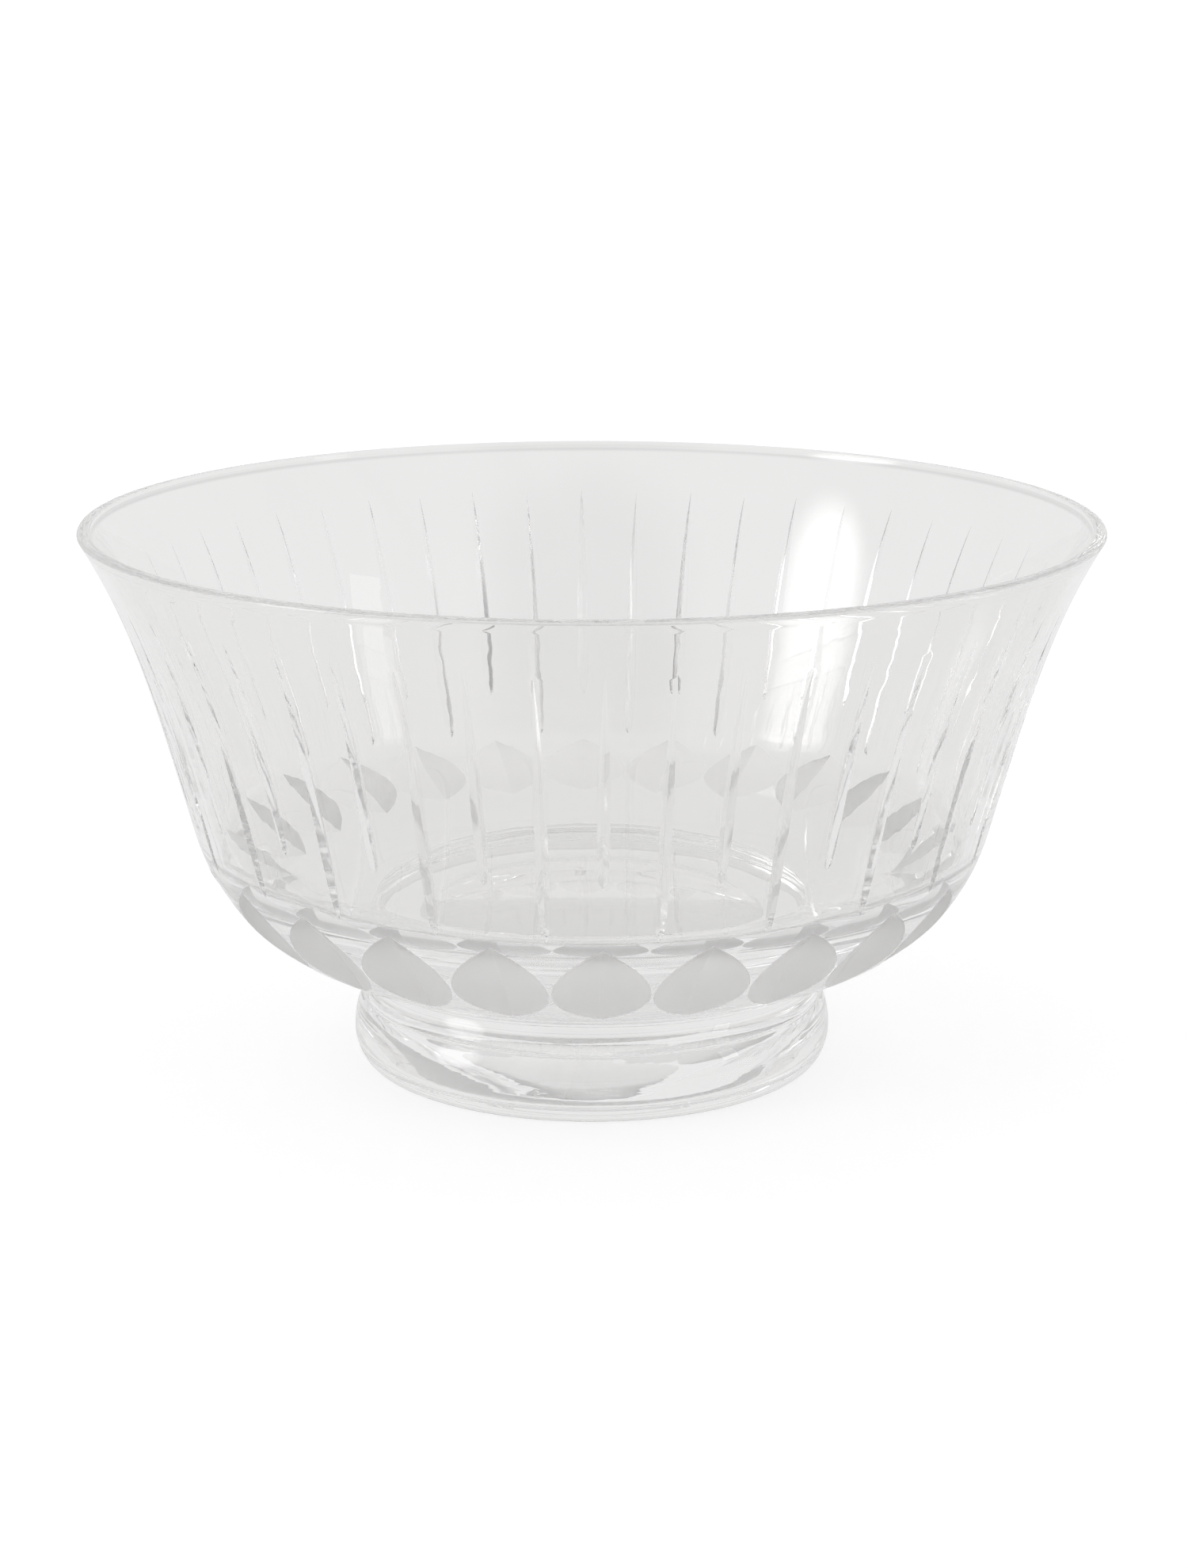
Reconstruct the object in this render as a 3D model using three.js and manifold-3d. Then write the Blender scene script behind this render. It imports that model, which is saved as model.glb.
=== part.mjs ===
// A footed punch bowl in cut crystal: a flared bowl with a fire-polished lip, upright mitre cuts of
// two lengths in turn around its wall, a ring of satin leaf cuts under its belly, and an applied foot.
// Millimetres, +Z up. The origin is the middle of the foot's resting face.
import * as THREE from "three";
import { mergeVertices } from "three/addons/utils/BufferGeometryUtils.js";
import Module from "manifold-3d";

const wasm = await Module();
wasm.setup();

// Outside of the bowl. A lean is measured from upright and a slope from level. A reach is how far
// a curve keeps to the direction of its end.
const rimRadius = 152.4;
const bowlHeight = 166.2;
const rimLean = 30.4;
const rimReach = 30.1;
const waistRadius = 122.7;
const waistHeight = 82.5;
const waistLean = 15.3;
const waistReachUp = 32.8;
const waistReachDown = 13.6;
const neckRadius = 67;
const neckHeight = 31.5;
const neckSlope = 8;
const neckReach = 47.5;

// Inside of the bowl, which bends into its thick floor near the waist.
const lipThickness = 4.2;
const lipRound = 1.3;
const wallThickness = 5.2;
const bendHeight = 75.5;
const bendReachUp = 15.4;
const bendReachDown = 15.4;
const floorHeight = 55.8;
const floorReach = 98.7;

// Upright mitre cuts: each pair is a long cut and a short one, evenly spaced.
const cutPairs = 24;
const cutTopBelowRim = 12.9;
const longCutFootHeight = 69;
const shortCutFootHeight = 86;
const cutDepth = 1.3;
const cutAngle = 110;
const deepestShare = 0.3;

// Satin leaf cuts under the belly, one below each short cut, made with an obtuse wheel.
const leafTopHeight = 67.5;
const leafFootHeight = 40.5;
const leafGap = 1.8;
const leafWheelRadius = 150;

// Foot, from the collar under the bowl down to the resting ring.
const jointGap = 0.3;
const collarStep = 1;
const collarFootHeight = 25.5;
const neckGrooveRadius = 70.4;
const neckGrooveHeight = 20.5;
const bandRadius = 73.1;
const bandHeight = 9.5;
const bandReach = 6;
const lipGrooveRadius = 72.3;
const lipGrooveHeight = 5.3;
const footLipReach = 3.4;
const restRadius = 67;
const restRingWidth = 12;
const recessDepth = 3.8;

const crystal = {
  color: 0xe9ecec,
  metalness: 0,
  roughness: 0.04,
  transparent: true,
  opacity: 0.35,
};

const fullTurn = 2 * Math.PI;
const pairTurn = fullTurn / cutPairs;
const frontTurn = -fullTurn / 4;
const bowlSegments = 4 * cutPairs;
const footSegments = 72;
const outsideSteps = 6;
const insideSteps = 4;
const lipSteps = 2;
const footCurveSteps = 3;
const cutSteps = 7;
const wheelSegments = 144;

// A point at a distance from another, at an angle in degrees up from level.
function away(point, angle, distance) {
  const turn = THREE.MathUtils.degToRad(angle);
  const offset = new THREE.Vector2(Math.cos(turn), Math.sin(turn));
  return offset.multiplyScalar(distance).add(point);
}

// Outside line of the bowl from neck to rim, as radius and height.
const neck = new THREE.Vector2(neckRadius, neckHeight);
const waist = new THREE.Vector2(waistRadius, waistHeight);
const rim = new THREE.Vector2(rimRadius, bowlHeight - lipRound);
const underside = new THREE.CubicBezierCurve(
  neck,
  away(neck, neckSlope, neckReach),
  away(waist, -90 - waistLean, waistReachDown),
  waist,
);
const outerWall = new THREE.CubicBezierCurve(
  waist,
  away(waist, 90 - waistLean, waistReachUp),
  away(rim, -90 - rimLean, rimReach),
  rim,
);

const outside = underside.getPoints(outsideSteps).concat(outerWall.getPoints(outsideSteps).slice(1));

// Where the outside of the blank is at a height, and which way it faces there.
function outsideAt(height) {
  const above = outside.findIndex((point) => point.y > height);
  const low = outside[above - 1];
  const high = outside[above];
  const share = (height - low.y) / (high.y - low.y);
  const along = high.clone().sub(low).normalize();
  return { point: low.clone().lerp(high, share), facing: new THREE.Vector2(along.y, -along.x) };
}

// A lathed solid that stands on Z.
function turned(outline, segments) {
  return new THREE.LatheGeometry(outline, segments).rotateX(fullTurn / 4);
}

function solidOf(geometry) {
  const bare = geometry.clone();
  bare.deleteAttribute("normal");
  bare.deleteAttribute("uv");
  const merged = mergeVertices(bare, 1e-4);
  const mesh = new wasm.Mesh({
    numProp: 3,
    vertProperties: new Float32Array(merged.attributes.position.array),
    triVerts: new Uint32Array(merged.index.array),
  });
  return new wasm.Manifold(mesh);
}

function geometryOf(solid) {
  const mesh = solid.getMesh();
  const geometry = new THREE.BufferGeometry();
  geometry.setAttribute("position", new THREE.BufferAttribute(mesh.vertProperties, 3));
  geometry.setIndex(new THREE.BufferAttribute(mesh.triVerts, 1));
  geometry.computeVertexNormals();
  return geometry;
}

// A quarter round on the lip, from a start angle.
function lipEdge(centreRadius, start) {
  const round = new THREE.EllipseCurve(centreRadius, rim.y, lipRound, lipRound, start, start + fullTurn / 4);
  return round.getPoints(lipSteps);
}

// The bowl as it comes from the mould, before it is cut.
function blankBowl() {
  const innerLip = new THREE.Vector2(rimRadius - lipThickness, rim.y);
  const outerEdge = lipEdge(rim.x - lipRound, 0);
  const innerEdge = lipEdge(innerLip.x + lipRound, fullTurn / 4);
  const bend = new THREE.Vector2(outsideAt(bendHeight).point.x - wallThickness, bendHeight);
  const innerWall = new THREE.CubicBezierCurve(
    innerLip,
    away(innerLip, -90 - rimLean, rimReach),
    away(bend, 90 - waistLean, bendReachUp),
    bend,
  );
  const floor = new THREE.CubicBezierCurve(
    bend,
    away(bend, -90 - waistLean, bendReachDown),
    new THREE.Vector2(floorReach, floorHeight),
    new THREE.Vector2(0, floorHeight),
  );
  const outline = [
    new THREE.Vector2(0, neckHeight),
    ...outside,
    ...outerEdge.slice(1),
    ...innerEdge,
    ...innerWall.getPoints(insideSteps).slice(1),
    ...floor.getPoints(insideSteps).slice(1),
  ];
  return turned(outline, bowlSegments);
}

// The space a mitre wheel clears: a V drawn up the wall, deepest low down, out of it at both ends.
function mitreCut(footHeight) {
  const topHeight = bowlHeight - cutTopBelowRim;
  const clearOfWall = cutDepth / 4;
  const line = [];
  for (let i = 0; i <= cutSteps; i += 1) {
    const share = i / cutSteps;
    const rise = (share / deepestShare) ** deepestShare;
    const fall = ((1 - share) / (1 - deepestShare)) ** (1 - deepestShare);
    const { point, facing } = outsideAt(THREE.MathUtils.lerp(footHeight, topHeight, share));
    point.addScaledVector(facing, clearOfWall - (cutDepth + clearOfWall) * rise * fall);
    line.push(new THREE.Vector3(point.x, 0, point.y));
  }
  const reach = 3 * cutDepth;
  const halfWidth = reach * Math.tan(THREE.MathUtils.degToRad(cutAngle / 2));
  const vee = new THREE.Shape([
    new THREE.Vector2(0, 0),
    new THREE.Vector2(halfWidth, reach),
    new THREE.Vector2(-halfWidth, reach),
  ]);
  return solidOf(
    new THREE.ExtrudeGeometry(vee, { steps: cutSteps, extrudePath: new THREE.CatmullRomCurve3(line) }),
  );
}

// The space an obtuse wheel clears, standing upright in the plane of the leaf's middle line.
function leafCut() {
  const top = outsideAt(leafTopHeight).point;
  const foot = outsideAt(leafFootHeight).point;
  const { point: crown, facing } = outsideAt((leafTopHeight + leafFootHeight) / 2);
  const chord = top.clone().sub(foot);
  const middle = top.clone().add(foot).divideScalar(2);
  const out = new THREE.Vector2(chord.y, -chord.x).normalize();
  const centreOut = Math.sqrt(leafWheelRadius ** 2 - chord.lengthSq() / 4);
  const creaseDepth = crown.clone().sub(middle).dot(out) + leafWheelRadius - centreOut;
  const halfWidth = (crown.x * pairTurn - leafGap) / 2;
  const roundness = (halfWidth ** 2 * facing.x) / (2 * crown.x);
  const wheelHalfThickness = (leafWheelRadius * halfWidth) / (creaseDepth - roundness);
  const wheel = new THREE.LatheGeometry(
    [
      new THREE.Vector2(0, -wheelHalfThickness),
      new THREE.Vector2(leafWheelRadius, 0),
      new THREE.Vector2(0, wheelHalfThickness),
    ],
    wheelSegments,
  );
  const centre = middle.addScaledVector(out, centreOut);
  return solidOf(wheel.translate(centre.x, 0, centre.y));
}

function cutBowl() {
  const longCut = mitreCut(longCutFootHeight);
  const shortCut = mitreCut(shortCutFootHeight);
  const leaf = leafCut();
  let solid = solidOf(blankBowl());
  for (let i = 0; i < cutPairs; i += 1) {
    const turn = THREE.MathUtils.radToDeg(frontTurn + i * pairTurn);
    const halfTurn = THREE.MathUtils.radToDeg(pairTurn / 2);
    solid = solid.subtract(shortCut.rotate([0, 0, turn]));
    solid = solid.subtract(leaf.rotate([0, 0, turn]));
    solid = solid.subtract(longCut.rotate([0, 0, turn + halfTurn]));
  }
  return geometryOf(solid);
}

// The foot: a collar, a rounded band and a lip between fine grooves, over a dished underside.
function footGeometry() {
  const outline = new THREE.Path();
  const recessRadius = restRadius - restRingWidth;
  outline.moveTo(0, recessDepth);
  outline.quadraticCurveTo(recessRadius / 2, recessDepth, recessRadius, 0);
  outline.lineTo(restRadius, 0);
  outline.quadraticCurveTo(restRadius + footLipReach, 0, lipGrooveRadius, lipGrooveHeight);
  outline.quadraticCurveTo(bandRadius, lipGrooveHeight, bandRadius, bandHeight);
  outline.quadraticCurveTo(bandRadius, bandHeight + bandReach, neckGrooveRadius, neckGrooveHeight);
  outline.lineTo(neckRadius + collarStep, collarFootHeight);
  outline.lineTo(neckRadius, neckHeight - jointGap);
  outline.lineTo(0, neckHeight - jointGap);
  return turned(outline.getPoints(footCurveSteps), footSegments);
}

const group = new THREE.Group();

function add(name, geometry) {
  const mesh = new THREE.Mesh(geometry, new THREE.MeshStandardMaterial(crystal));
  mesh.name = name;
  group.add(mesh);
}

add("bowl", cutBowl());
add("foot", footGeometry());

export default group;
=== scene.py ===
import math

import bmesh
import bpy
from mathutils import Matrix, Vector
from mathutils.geometry import interpolate_bezier


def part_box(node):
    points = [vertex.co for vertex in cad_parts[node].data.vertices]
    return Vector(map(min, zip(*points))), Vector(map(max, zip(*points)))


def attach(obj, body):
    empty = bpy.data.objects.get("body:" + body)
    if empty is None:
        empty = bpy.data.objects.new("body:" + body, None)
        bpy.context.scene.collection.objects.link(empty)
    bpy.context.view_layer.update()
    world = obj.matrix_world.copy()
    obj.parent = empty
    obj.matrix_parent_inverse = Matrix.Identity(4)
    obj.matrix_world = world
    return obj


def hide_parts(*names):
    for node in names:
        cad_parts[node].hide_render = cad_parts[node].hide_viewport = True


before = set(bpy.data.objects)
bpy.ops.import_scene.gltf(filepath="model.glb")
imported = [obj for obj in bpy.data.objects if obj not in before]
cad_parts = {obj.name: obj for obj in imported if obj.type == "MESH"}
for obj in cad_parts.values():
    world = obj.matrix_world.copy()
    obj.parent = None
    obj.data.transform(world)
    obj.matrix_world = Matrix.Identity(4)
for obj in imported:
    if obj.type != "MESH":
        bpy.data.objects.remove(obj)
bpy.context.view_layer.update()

# The bowl: one gather of lead crystal, blown thick at the floor and flared to a fire-polished lip.
# Its 48 upright mitre cuts and 24 satin leaf cuts are ground in a repeat of 15 degrees, so half of
# one repeat is made and cut, mirrored, and turned round the axis.
bowl_low, bowl_high = (Vector(corner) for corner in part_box("bowl"))
RIM_RADIUS = bowl_high.x
BOWL_HEIGHT = bowl_high.z
NECK_RADIUS = 0.067
NECK_HEIGHT = bowl_low.z
WAIST_RADIUS = 0.1227
WAIST_HEIGHT = 0.0825
RIM_LEAN = 30.4
WAIST_LEAN = 15.3
NECK_SLOPE = 8
NECK_REACH = 0.0475
WAIST_REACH_DOWN = 0.0136
WAIST_REACH_UP = 0.0328
RIM_REACH = 0.0301
LIP_THICKNESS = 0.0042
LIP_ROUND = 0.0013
WALL_THICKNESS = 0.0052
BEND_HEIGHT = 0.0755
BEND_REACH = 0.0154
FLOOR_HEIGHT = 0.0558
FLOOR_REACH = 0.0987
REPEATS = 24
HALF_REPEAT = math.pi / REPEATS
CUT_TOP = BOWL_HEIGHT - 0.0129
LONG_CUT_FOOT = 0.069
SHORT_CUT_FOOT = 0.086
LEAF_TOP = 0.0675
LEAF_FOOT = 0.0405
LEAF_GAP = 0.0018
MERGE = 1e-6
CRYSTAL, MITRE, SATIN, JOINT = range(4)


def reach(point, angle, distance):
    """The point at a distance from another, at an angle in degrees up from level, in the XZ plane."""
    turn = math.radians(angle)
    return Vector((point.x + distance * math.cos(turn), 0, point.z + distance * math.sin(turn)))


def bend(start, start_angle, start_reach, end, end_angle, end_reach, count):
    """Points along a smooth bend that leaves each end in its own direction."""
    return interpolate_bezier(
        start, reach(start, start_angle, start_reach), reach(end, end_angle, end_reach), end, count
    )


neck = Vector((NECK_RADIUS, 0, NECK_HEIGHT))
waist = Vector((WAIST_RADIUS, 0, WAIST_HEIGHT))
rim = Vector((RIM_RADIUS, 0, BOWL_HEIGHT - LIP_ROUND))
outside = bend(neck, NECK_SLOPE, NECK_REACH, waist, -90 - WAIST_LEAN, WAIST_REACH_DOWN, 46)
outside += bend(waist, 90 - WAIST_LEAN, WAIST_REACH_UP, rim, -90 - RIM_LEAN, RIM_REACH, 44)[1:]


def outside_at(height):
    """Where the blank's outside is at a height, and which way it faces there."""
    above = next(i for i, point in enumerate(outside) if point.z > height)
    low, high = outside[above - 1], outside[above]
    along = (high - low).normalized()
    return low.lerp(high, (height - low.z) / (high.z - low.z)), Vector((along.z, 0, -along.x))


def swept_solid(outline, start_turn, end_turn, steps):
    """A closed wedge: an outline on the XZ plane turned about Z, with both ends faced."""
    bm = bmesh.new()
    corners = [bm.verts.new(point) for point in outline]
    face = bm.faces.new(corners)
    bmesh.ops.rotate(bm, verts=bm.verts, cent=(0, 0, 0), matrix=Matrix.Rotation(start_turn, 3, "Z"))
    bmesh.ops.spin(
        bm, geom=[face], cent=(0, 0, 0), axis=(0, 0, 1), angle=end_turn - start_turn, steps=steps
    )
    bmesh.ops.recalc_face_normals(bm, faces=bm.faces)
    return bm


def as_object(bm, name):
    mesh = bpy.data.meshes.new(name)
    bm.to_mesh(mesh)
    bm.free()
    return bpy.data.objects.new(name, mesh)


def ground_away(blank, cutters):
    """The blank with each cutter's shape taken out of it; cut faces keep the cutter's finish."""
    objects = [as_object(blank, "blank")] + [as_object(bm, "cutter") for bm in cutters]
    for work in objects:
        bpy.context.scene.collection.objects.link(work)
    for cutter in objects[1:]:
        grinding = objects[0].modifiers.new("cut", "BOOLEAN")
        grinding.operation = "DIFFERENCE"
        grinding.solver = "EXACT"
        grinding.object = cutter
        grinding.material_mode = "INDEX"
    cut = bmesh.new()
    cut.from_object(objects[0], bpy.context.evaluated_depsgraph_get())
    for work in objects:
        bpy.data.objects.remove(work)
    return cut


def mitre_wheel(foot_height, turn):
    """The space a sharp V wheel clears: deepest low on the wall, out of it at both pointed ends."""
    depth = 0.0013
    clear = depth / 4
    deepest = 0.3
    steps = 28
    wheel_rise = 3 * depth
    spread = Vector((0, wheel_rise * math.tan(math.radians(55)), 0))
    bm = bmesh.new()
    face = None
    for i in range(steps + 1):
        share = i / steps
        swell = (share / deepest) ** deepest * ((1 - share) / (1 - deepest)) ** (1 - deepest)
        point, facing = outside_at(foot_height + (CUT_TOP - foot_height) * share)
        edge = point + facing * (clear - (depth + clear) * swell)
        outer = edge + facing * wheel_rise
        corners = [edge, outer + spread, outer - spread]
        if face is None:
            face = bm.faces.new([bm.verts.new(corner) for corner in corners])
            continue
        grown = bmesh.ops.extrude_face_region(bm, geom=[face])["geom"]
        if i > 1:
            bmesh.ops.delete(bm, geom=[face], context="FACES_ONLY")
        face = next(item for item in grown if isinstance(item, bmesh.types.BMFace))
        for vert, corner in zip(face.verts, corners):
            vert.co = corner
    bmesh.ops.recalc_face_normals(bm, faces=bm.faces)
    for made in bm.faces:
        made.material_index = MITRE
    bmesh.ops.rotate(bm, verts=bm.verts, cent=(0, 0, 0), matrix=Matrix.Rotation(turn, 3, "Z"))
    return bm


def leaf_wheel():
    """The space an obtuse wheel clears, standing in the plane of the leaf's middle line."""
    wheel_radius = 0.150
    tip = outside_at(LEAF_TOP)[0]
    heel = outside_at(LEAF_FOOT)[0]
    crown, facing = outside_at((LEAF_TOP + LEAF_FOOT) / 2)
    chord = tip - heel
    middle = (tip + heel) / 2
    out = Vector((chord.z, 0, -chord.x)).normalized()
    centre_out = math.sqrt(wheel_radius**2 - chord.length_squared / 4)
    crease_depth = (crown - middle).dot(out) + wheel_radius - centre_out
    half_width = crown.x * HALF_REPEAT - LEAF_GAP / 2
    roundness = half_width**2 * facing.x / (2 * crown.x)
    half_thickness = wheel_radius * half_width / (crease_depth - roundness)
    centre = middle + out * centre_out
    bm = bmesh.new()
    edge = bm.verts.new(centre - out * wheel_radius)
    sides = [bm.verts.new(centre + Vector((0, side * half_thickness, 0))) for side in (-1, 1)]
    lines = [bm.edges.new((side, edge)) for side in sides]
    bmesh.ops.spin(
        bm, geom=[edge, *sides, *lines], cent=centre, axis=(0, 1, 0), angle=2 * math.pi, steps=360,
        use_merge=True,
    )
    bmesh.ops.remove_doubles(bm, verts=bm.verts, dist=MERGE)
    bmesh.ops.recalc_face_normals(bm, faces=bm.faces)
    for made in bm.faces:
        made.material_index = SATIN
    return bm


def bowl_outline():
    """The blank's outline: neck, underside, wall, lip, inner wall and floor, closed down the axis."""
    lip = []
    for centre_in, start in ((LIP_ROUND, 0), (LIP_THICKNESS - LIP_ROUND, 90)):
        centre = rim - Vector((centre_in, 0, 0))
        lip += [reach(centre, start + 90 * step / 8, LIP_ROUND) for step in range(9)]
    inner_lip = rim - Vector((LIP_THICKNESS, 0, 0))
    inner_bend = Vector((outside_at(BEND_HEIGHT)[0].x - WALL_THICKNESS, 0, BEND_HEIGHT))
    inside = bend(
        inner_lip, -90 - RIM_LEAN, RIM_REACH, inner_bend, 90 - WAIST_LEAN, BEND_REACH, 36
    )
    floor_edge = Vector((FLOOR_REACH, 0, FLOOR_HEIGHT))
    floor_middle = Vector((0, 0, FLOOR_HEIGHT))
    under_bend = reach(inner_bend, -90 - WAIST_LEAN, BEND_REACH)
    inside += interpolate_bezier(inner_bend, under_bend, floor_edge, floor_middle, 40)[1:]
    return [Vector((0, 0, NECK_HEIGHT)), *outside, *lip[1:-1], *inside]


overlap = HALF_REPEAT / 5
blank = swept_solid(bowl_outline(), -overlap, HALF_REPEAT + overlap, 7)
short_cut = mitre_wheel(SHORT_CUT_FOOT, 0)
long_cut = mitre_wheel(LONG_CUT_FOOT, HALF_REPEAT)
cut = ground_away(blank, [short_cut, leaf_wheel(), long_cut])
for turn, side in ((0, 1), (HALF_REPEAT, -1)):
    across = Matrix.Rotation(turn, 3, "Z") @ Vector((0, side, 0))
    everything = [*cut.verts, *cut.edges, *cut.faces]
    bmesh.ops.bisect_plane(
        cut, geom=everything, dist=1e-7, plane_co=(0, 0, 0), plane_no=across, clear_inner=True
    )
bmesh.ops.mirror(cut, geom=[*cut.verts, *cut.edges, *cut.faces], axis="Y", merge_dist=MERGE)
to_front = Matrix.Rotation(-math.pi / 2, 3, "Z")
bmesh.ops.rotate(cut, verts=cut.verts, cent=(0, 0, 0), matrix=to_front)
bmesh.ops.spin(
    cut, geom=[*cut.verts, *cut.edges, *cut.faces], cent=(0, 0, 0), axis=(0, 0, 1),
    angle=2 * math.pi, steps=REPEATS, use_duplicate=True,
)
bmesh.ops.remove_doubles(cut, verts=cut.verts, dist=2 * MERGE)
bmesh.ops.recalc_face_normals(cut, faces=cut.faces)
for face in cut.faces:
    face.smooth = True
    if max(vert.co.z for vert in face.verts) < NECK_HEIGHT + MERGE:
        face.material_index = JOINT
# Cut edges and the crease of each cut stay crisp, and every other edge is shaded round.
for edge in cut.edges:
    finishes = {face.material_index for face in edge.link_faces}
    edge.smooth = len(finishes) == 1 and (finishes == {CRYSTAL} or edge.calc_face_angle(0) < 0.3)
bowl = as_object(cut, "crystal_bowl")
bpy.context.scene.collection.objects.link(bowl)


def glass(name, tint, ripple_height, ripple_size, ripple_scale, smoothest, roughest):
    """Lead crystal with a faint uneven tint and a ripple; the scale draws the ripple out on an axis."""
    material = bpy.data.materials.new(name)
    material.use_nodes = True
    nodes, links = material.node_tree.nodes, material.node_tree.links
    shader = nodes["Principled BSDF"]
    shader.inputs["Transmission Weight"].default_value = 1
    shader.inputs["IOR"].default_value = 1.54
    place = nodes.new("ShaderNodeTexCoord")
    drawn = nodes.new("ShaderNodeMapping")
    drawn.inputs["Scale"].default_value = ripple_scale
    links.new(place.outputs["Object"], drawn.inputs["Vector"])
    waves = nodes.new("ShaderNodeTexNoise")
    waves.inputs["Scale"].default_value = 1 / ripple_size
    waves.inputs["Detail"].default_value = 3
    links.new(drawn.outputs["Vector"], waves.inputs["Vector"])
    relief = nodes.new("ShaderNodeBump")
    relief.inputs["Strength"].default_value = 1
    relief.inputs["Distance"].default_value = ripple_height
    links.new(waves.outputs["Fac"], relief.inputs["Height"])
    links.new(relief.outputs["Normal"], shader.inputs["Normal"])
    streaks = nodes.new("ShaderNodeTexNoise")
    streaks.inputs["Scale"].default_value = 14
    streaks.inputs["Detail"].default_value = 4
    streaks.inputs["Distortion"].default_value = 1.5
    links.new(place.outputs["Object"], streaks.inputs["Vector"])
    tone = nodes.new("ShaderNodeValToRGB")
    deeper, paler = tone.color_ramp.elements
    deeper.color = (*[0.985 * channel for channel in tint], 1)
    deeper.position = 0.35
    paler.color = (*tint, 1)
    paler.position = 0.65
    links.new(streaks.outputs["Fac"], tone.inputs["Fac"])
    links.new(tone.outputs["Color"], shader.inputs["Base Color"])
    wear = nodes.new("ShaderNodeMapRange")
    wear.inputs["From Min"].default_value = 0.35
    wear.inputs["From Max"].default_value = 0.7
    wear.inputs["To Min"].default_value = smoothest
    wear.inputs["To Max"].default_value = roughest
    links.new(streaks.outputs["Fac"], wear.inputs["Value"])
    links.new(wear.outputs["Result"], shader.inputs["Roughness"])
    return material


def fused_joint():
    """Where foot and bowl are one glass, light passes straight on."""
    material = bpy.data.materials.new("fused_joint")
    material.use_nodes = True
    nodes, links = material.node_tree.nodes, material.node_tree.links
    nodes.remove(nodes["Principled BSDF"])
    through = nodes.new("ShaderNodeBsdfTransparent")
    links.new(through.outputs[0], nodes["Material Output"].inputs["Surface"])
    return material


def frosted(material, tint, share):
    """Etched glass: a share of the light that meets it is scattered as it passes."""
    nodes, links = material.node_tree.nodes, material.node_tree.links
    scatter = nodes.new("ShaderNodeBsdfTranslucent")
    scatter.inputs["Color"].default_value = (*tint, 1)
    frost = nodes.new("ShaderNodeMixShader")
    frost.inputs["Fac"].default_value = share
    links.new(nodes["Principled BSDF"].outputs[0], frost.inputs[1])
    links.new(scatter.outputs[0], frost.inputs[2])
    links.new(frost.outputs[0], nodes["Material Output"].inputs["Surface"])
    return material


crystal_tint = (0.955, 0.953, 0.948)
satin_tint = (0.97, 0.965, 0.955)
polished = glass("polished_crystal", crystal_tint, 0.00004, 0.018, (1, 1, 0.5), 0, 0.015)
polished_cut = glass("polished_cut", crystal_tint, 0.000004, 0.0008, (1, 1, 0.05), 0.04, 0.1)
satin = frosted(
    glass("satin_cut", satin_tint, 0.00002, 0.0003, (1, 1, 0.3), 0.38, 0.5), satin_tint, 0.2
)
joint = fused_joint()
for finish in (polished, polished_cut, satin, joint):
    bowl.data.materials.append(finish)
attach(bowl, "root")
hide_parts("bowl")

# The foot: a second gather of crystal, stuck to the hot bowl and tooled to a collar, a rounded band
# and a lip between fine grooves. Its underside is dished so that it rests on a ring.
REST_RADIUS = 0.067
FOOT_LIP_REACH = 0.0034
DISH_RADIUS = REST_RADIUS - 0.012
DISH_DEPTH = 0.0038
LIP_TOP = (0.0722, 0.0047)
LIP_GROOVE = (0.0714, 0.0053)
BAND_FOOT = (0.0725, 0.0060)
BAND = (0.0731, 0.0095)
BAND_TOP = (0.0706, 0.0200)
NECK_GROOVE = (0.0694, 0.0206)
COLLAR_LOW = (0.0702, 0.0213)
COLLAR_HIGH = (0.068, 0.0255)


def rounded(start, corner, end, count):
    """Points along a curve that runs from start to end and is drawn towards a corner."""
    start, corner, end = (Vector((x, 0, z)) for x, z in (start, corner, end))
    return interpolate_bezier(start, start.lerp(corner, 2 / 3), end.lerp(corner, 2 / 3), end, count)


foot_line = [
    *rounded((0, DISH_DEPTH), (DISH_RADIUS / 2, DISH_DEPTH), (DISH_RADIUS, 0), 40),
    *rounded((REST_RADIUS, 0), (REST_RADIUS + FOOT_LIP_REACH, 0), LIP_TOP, 16),
    *rounded(LIP_TOP, LIP_GROOVE, BAND_FOOT, 10)[1:],
    *rounded(BAND_FOOT, (BAND[0], 0.0068), BAND, 12)[1:],
    *rounded(BAND, (BAND[0], BAND[1] + 0.006), BAND_TOP, 16)[1:],
    *rounded(BAND_TOP, NECK_GROOVE, COLLAR_LOW, 10)[1:],
    *rounded(COLLAR_LOW, (0.0688, 0.0235), COLLAR_HIGH, 8)[1:],
    *rounded(COLLAR_HIGH, (0.0672, 0.0275), (NECK_RADIUS, NECK_HEIGHT), 8)[1:],
    Vector((0, 0, NECK_HEIGHT)),
]
foot_bm = bmesh.new()
stations = [foot_bm.verts.new(point) for point in foot_line]
side_line = [foot_bm.edges.new(pair) for pair in zip(stations, stations[1:])]
bmesh.ops.spin(
    foot_bm, geom=[*stations, *side_line], cent=(0, 0, 0), axis=(0, 0, 1), angle=2 * math.pi,
    steps=192, use_merge=True,
)
bmesh.ops.remove_doubles(foot_bm, verts=foot_bm.verts, dist=MERGE)
bmesh.ops.recalc_face_normals(foot_bm, faces=foot_bm.faces)
for face in foot_bm.faces:
    face.smooth = True
    if min(vert.co.z for vert in face.verts) > NECK_HEIGHT - MERGE:
        face.material_index = 1
for edge in foot_bm.edges:
    edge.smooth = edge.calc_face_angle(0) < 0.5
foot = as_object(foot_bm, "crystal_foot")
bpy.context.scene.collection.objects.link(foot)
tooled = glass("tooled_crystal", crystal_tint, 0.00002, 0.003, (0.1, 0.1, 1), 0, 0.02)
foot.data.materials.append(tooled)
foot.data.materials.append(joint)
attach(foot, "root")
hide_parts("foot")

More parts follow.
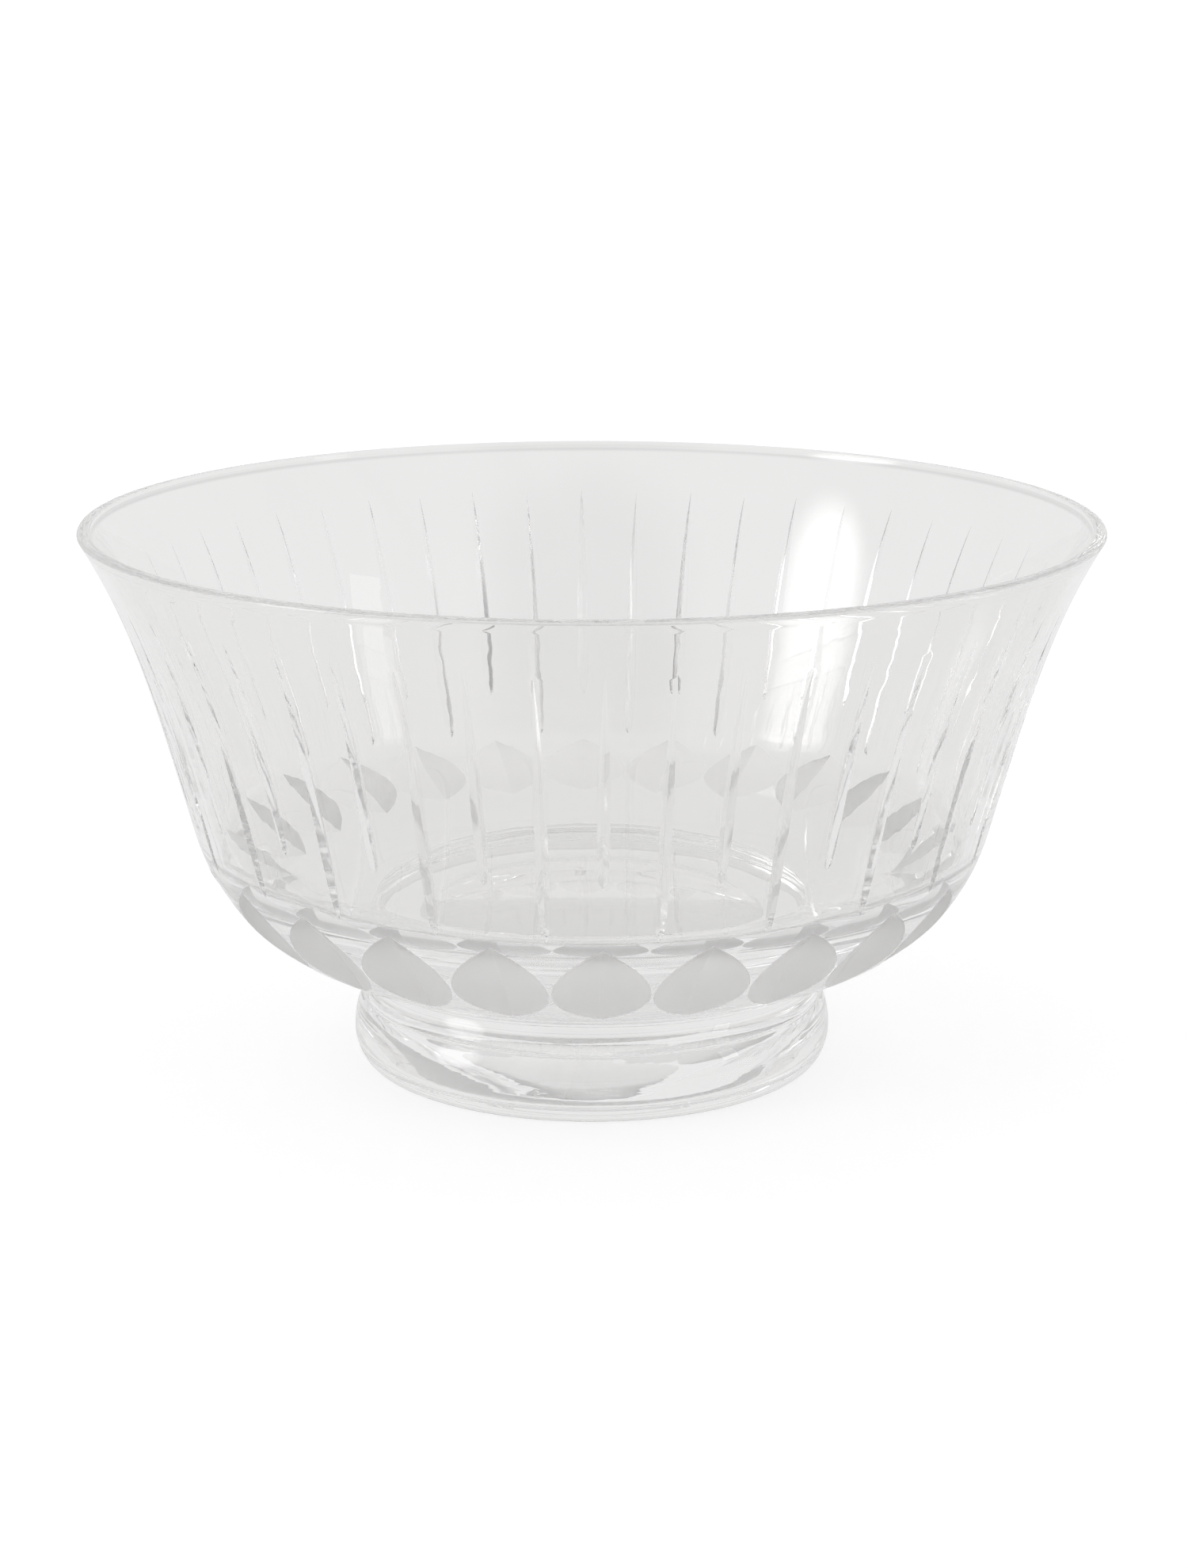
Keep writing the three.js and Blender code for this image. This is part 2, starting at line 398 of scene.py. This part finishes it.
# The studio: a pale table that shows as plain white to the camera and glows less where the glass sees
# it at a grazing angle.
table_bm = bmesh.new()
bmesh.ops.create_grid(table_bm, x_segments=1, y_segments=1, size=12)
floor = as_object(table_bm, "floor")
bpy.context.scene.collection.objects.link(floor)
table_glow = bpy.data.materials.new("table_glow")
table_glow.use_nodes = True
nodes, links = table_glow.node_tree.nodes, table_glow.node_tree.links
surface = nodes["Principled BSDF"]
surface.inputs["Base Color"].default_value = (0.42, 0.42, 0.42, 1)
surface.inputs["Roughness"].default_value = 1
surface.inputs["Specular IOR Level"].default_value = 0
surface.inputs["Emission Color"].default_value = (1, 1, 1, 1)
grazing = nodes.new("ShaderNodeLayerWeight")
grazing.inputs["Blend"].default_value = 0.5
dim = nodes.new("ShaderNodeMapRange")
dim.interpolation_type = "SMOOTHSTEP"
links.new(grazing.outputs["Facing"], dim.inputs["Value"])
dim.inputs["From Min"].default_value = 0.87
dim.inputs["From Max"].default_value = 0.94
dim.inputs["To Min"].default_value = 0.5
dim.inputs["To Max"].default_value = 0.36
seen = nodes.new("ShaderNodeLightPath")
glow = nodes.new("ShaderNodeMix")
links.new(seen.outputs["Is Camera Ray"], glow.inputs["Factor"])
links.new(dim.outputs["Result"], glow.inputs["A"])
glow.inputs["B"].default_value = 0.7
links.new(glow.outputs["Result"], surface.inputs["Emission Strength"])
floor.data.materials.append(table_glow)

# The room: an even pale dome that is dimmer in front, where the camera stands, with a tall soft
# window at the left. Seen straight from the camera it is plain white.
world = bpy.data.worlds.new("studio")
world.use_nodes = True
bpy.context.scene.world = world
nodes, links = world.node_tree.nodes, world.node_tree.links
direction = nodes.new("ShaderNodeTexCoord").outputs["Generated"]


def brightness_towards(seen_direction, middle, edge_cosine, middle_cosine, edge_level, middle_level):
    """A soft round patch of light in the room that changes level from its edge to its middle."""
    closeness = nodes.new("ShaderNodeVectorMath")
    closeness.operation = "DOT_PRODUCT"
    closeness.inputs[1].default_value = middle
    links.new(seen_direction, closeness.inputs[0])
    level = nodes.new("ShaderNodeMapRange")
    links.new(closeness.outputs["Value"], level.inputs["Value"])
    level.inputs["From Min"].default_value = edge_cosine
    level.inputs["From Max"].default_value = middle_cosine
    level.inputs["To Min"].default_value = edge_level
    level.inputs["To Max"].default_value = middle_level
    return level


dim_front = brightness_towards(direction, (0, -0.97, 0.24), 0.8, 0.97, 0.86, 0.3)
dim_front.interpolation_type = "SMOOTHSTEP"
flattened = nodes.new("ShaderNodeVectorMath")
flattened.operation = "MULTIPLY"
flattened.inputs[1].default_value = (1, 1, 0.62)
links.new(direction, flattened.inputs[0])
tall = nodes.new("ShaderNodeVectorMath")
tall.operation = "NORMALIZE"
links.new(flattened.outputs[0], tall.inputs[0])
window = brightness_towards(tall.outputs[0], (-0.925, -0.337, 0.175), 0.966, 0.998, 0, 3.2)
window.interpolation_type = "SMOOTHERSTEP"
together = nodes.new("ShaderNodeMath")
together.operation = "ADD"
links.new(dim_front.outputs["Result"], together.inputs[0])
links.new(window.outputs["Result"], together.inputs[1])
dome = nodes["Background"]
dome.inputs["Color"].default_value = (1, 1, 1, 1)
links.new(together.outputs[0], dome.inputs["Strength"])
white = nodes.new("ShaderNodeBackground")
white.inputs["Color"].default_value = (1, 1, 1, 1)
white.inputs["Strength"].default_value = 1.1
seen = nodes.new("ShaderNodeLightPath")
dome_or_white = nodes.new("ShaderNodeMixShader")
links.new(seen.outputs["Is Camera Ray"], dome_or_white.inputs["Fac"])
links.new(dome.outputs[0], dome_or_white.inputs[1])
links.new(white.outputs[0], dome_or_white.inputs[2])
links.new(dome_or_white.outputs[0], nodes["World Output"].inputs["Surface"])

# One small soft box at the right, aimed at the middle of the bowl.
box_light = bpy.data.lights.new("right_box", "AREA")
box_light.shape = "RECTANGLE"
box_light.size = 0.29
box_light.size_y = 0.45
box_light.energy = 0.5
right_box = bpy.data.objects.new("right_box", box_light)
bpy.context.scene.collection.objects.link(right_box)
right_box.location = (1.7, -0.707, 0.58)
aim = Vector((0, 0, 0.1)) - Vector((1.7, -0.707, 0.58))
right_box.rotation_euler = aim.to_track_quat("-Z", "Y").to_euler()

# The camera stands a little left of the bowl's front and above its rim, and looks down on it.
CAMERA_DISTANCE = 1.0164
CAMERA_HEIGHT = 0.3454
camera_turn = math.radians(1.4)
camera_tilt = math.radians(90 - 14.41)
camera_data = bpy.data.cameras.new("camera")
camera_data.lens = 79.15
camera_data.shift_x = 0.0014
camera = bpy.data.objects.new("camera", camera_data)
bpy.context.scene.collection.objects.link(camera)
camera.location = (
    -CAMERA_DISTANCE * math.sin(camera_turn), -CAMERA_DISTANCE * math.cos(camera_turn), CAMERA_HEIGHT
)
camera.rotation_euler = (camera_tilt, 0, -camera_turn)
bpy.context.scene.camera = camera
bpy.context.scene.view_settings.view_transform = "Standard"

# Light crosses many cut faces before it leaves the glass, so its paths are let run long.
cycles = bpy.context.scene.cycles
cycles.max_bounces = 48
cycles.transmission_bounces = 48
cycles.glossy_bounces = 48
cycles.transparent_max_bounces = 48
